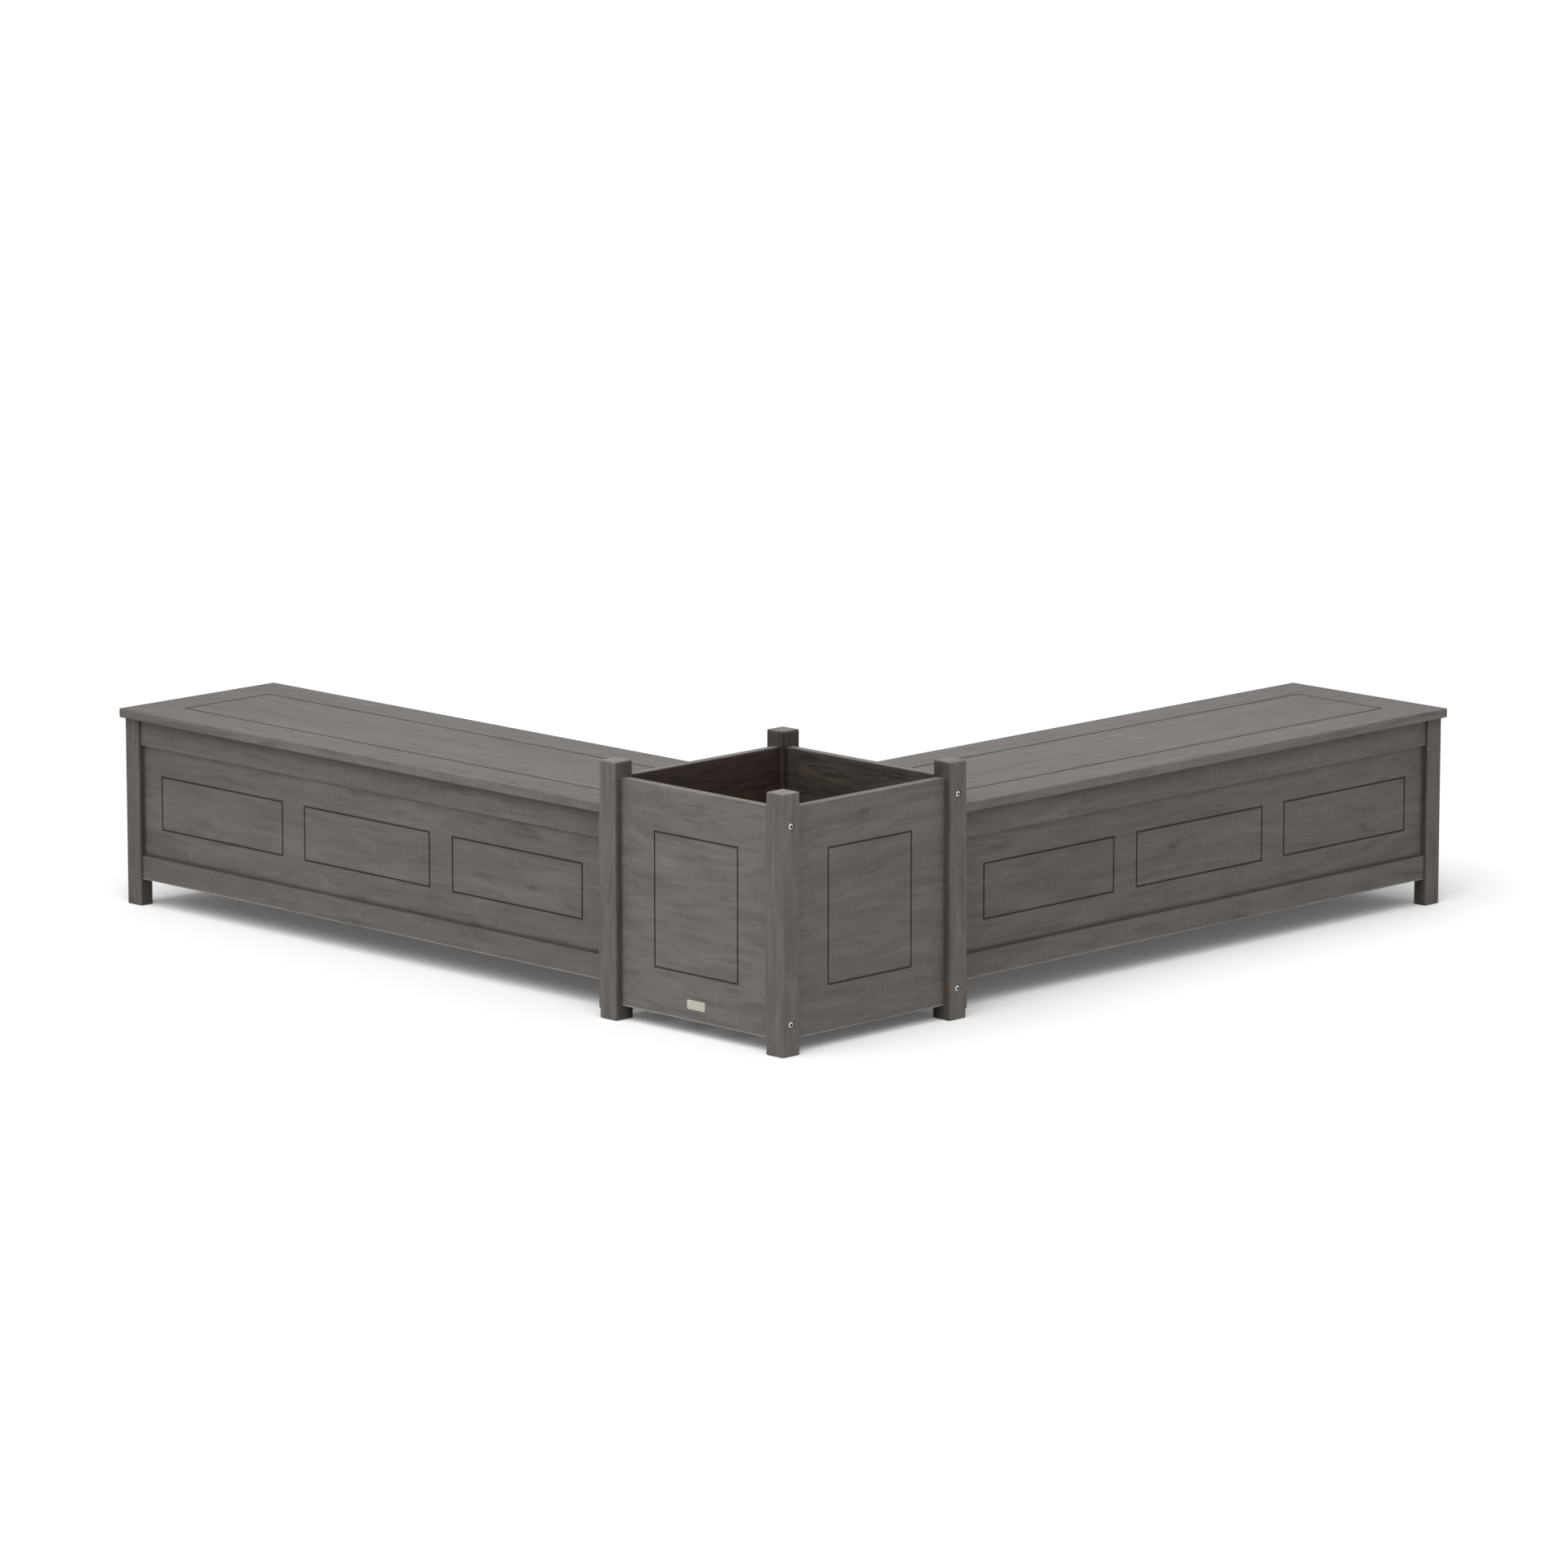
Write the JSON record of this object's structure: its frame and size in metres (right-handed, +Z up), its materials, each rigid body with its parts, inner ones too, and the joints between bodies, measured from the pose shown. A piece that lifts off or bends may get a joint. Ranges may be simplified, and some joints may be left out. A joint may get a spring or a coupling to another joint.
{
  "type": "bench with planter",
  "caption": "L-shaped wooden corner seat: long storage benches with hinged lids run off a square planter box with corner posts and bolted, routed walls.",
  "frame": {"origin": "middle of the floor rectangle that the whole piece covers, on the floor; the planter is at the -X -Y corner", "axes": "+Z up; the right bench runs along +X from the planter and the left bench along +Y; the panelled fronts face -Y and -X"},
  "size_m": [2.1354, 2.1354, 0.547],
  "materials": {
    "post_wood": "grey weathered stain, matt, vertical grain",
    "wall_wood": "grey weathered stain, matt, horizontal grain",
    "rail_wood": "grey weathered stain, matt, grain along the rail",
    "panel_wood": "grey weathered stain, matt, grain along the bench",
    "lid_wood": "grey weathered stain, pale and dry, grain along the lid",
    "inner_wood": "unlit brown-grey stain, matt",
    "steel": "zinc-plated steel, satin"
  },
  "bodies": {
    "frame": {"planter_front_post": "post_wood", "planter_front_lower_bolt": "steel", "planter_front_upper_bolt": "steel", "planter_right_post": "post_wood", "planter_right_lower_bolt": "steel", "planter_right_upper_bolt": "steel", "planter_left_post": "post_wood", "planter_left_lower_bolt": "steel", "planter_left_upper_bolt": "steel", "planter_back_post": "post_wood", "planter_back_lower_bolt": "steel", "planter_back_upper_bolt": "steel", "planter_right_front_wall": "wall_wood", "planter_left_back_wall": "wall_wood", "planter_left_front_wall": "wall_wood", "planter_right_back_wall": "wall_wood", "planter_floor_left_cleat": "inner_wood", "planter_floor_right_cleat": "inner_wood", "planter_floor_slat_1": "inner_wood", "planter_floor_slat_2": "inner_wood", "planter_floor_slat_3": "inner_wood", "planter_floor_slat_4": "inner_wood", "right_bench_front_near_leg": "post_wood", "right_bench_front_far_leg": "post_wood", "right_bench_back_near_leg": "post_wood", "right_bench_back_far_leg": "post_wood", "right_bench_front_top_rail": "rail_wood", "right_bench_front_bottom_rail": "rail_wood", "right_bench_front_panel": "panel_wood", "right_bench_far_end_top_rail": "rail_wood", "right_bench_far_end_bottom_rail": "rail_wood", "right_bench_far_end_panel": "panel_wood", "right_bench_near_end_board": "panel_wood", "right_bench_back_board": "panel_wood", "right_bench_floor_board": "inner_wood", "right_bench_joining_batten": "inner_wood", "right_bench_hinge_frame_leaf": "steel", "left_bench_front_near_leg": "post_wood", "left_bench_front_far_leg": "post_wood", "left_bench_back_near_leg": "post_wood", "left_bench_back_far_leg": "post_wood", "left_bench_front_top_rail": "rail_wood", "left_bench_front_bottom_rail": "rail_wood", "left_bench_front_panel": "panel_wood", "left_bench_far_end_top_rail": "rail_wood", "left_bench_far_end_bottom_rail": "rail_wood", "left_bench_far_end_panel": "panel_wood", "left_bench_near_end_board": "panel_wood", "left_bench_back_board": "panel_wood", "left_bench_floor_board": "inner_wood", "left_bench_joining_batten": "inner_wood", "left_bench_hinge_frame_leaf": "steel"},
    "right_lid": {"right_bench_lid": "lid_wood", "right_bench_lid_near_batten": "inner_wood", "right_bench_lid_far_batten": "inner_wood", "right_bench_hinge_lid_leaf": "steel"},
    "left_lid": {"left_bench_lid": "lid_wood", "left_bench_lid_near_batten": "inner_wood", "left_bench_lid_far_batten": "inner_wood", "left_bench_hinge_lid_leaf": "steel"}
  },
  "joints": [
    {"name": "right_lid_hinge", "type": "hinge", "parent": "frame", "child": "right_lid", "pos_m": [0.27575, -0.56625, 0.4182], "axis": [-1, 0, 0], "range_deg": [0, 90]},
    {"name": "left_lid_hinge", "type": "hinge", "parent": "frame", "child": "left_lid", "pos_m": [-0.56625, 0.27575, 0.4182], "axis": [0, 1, 0], "range_deg": [0, 90]}
  ]
}
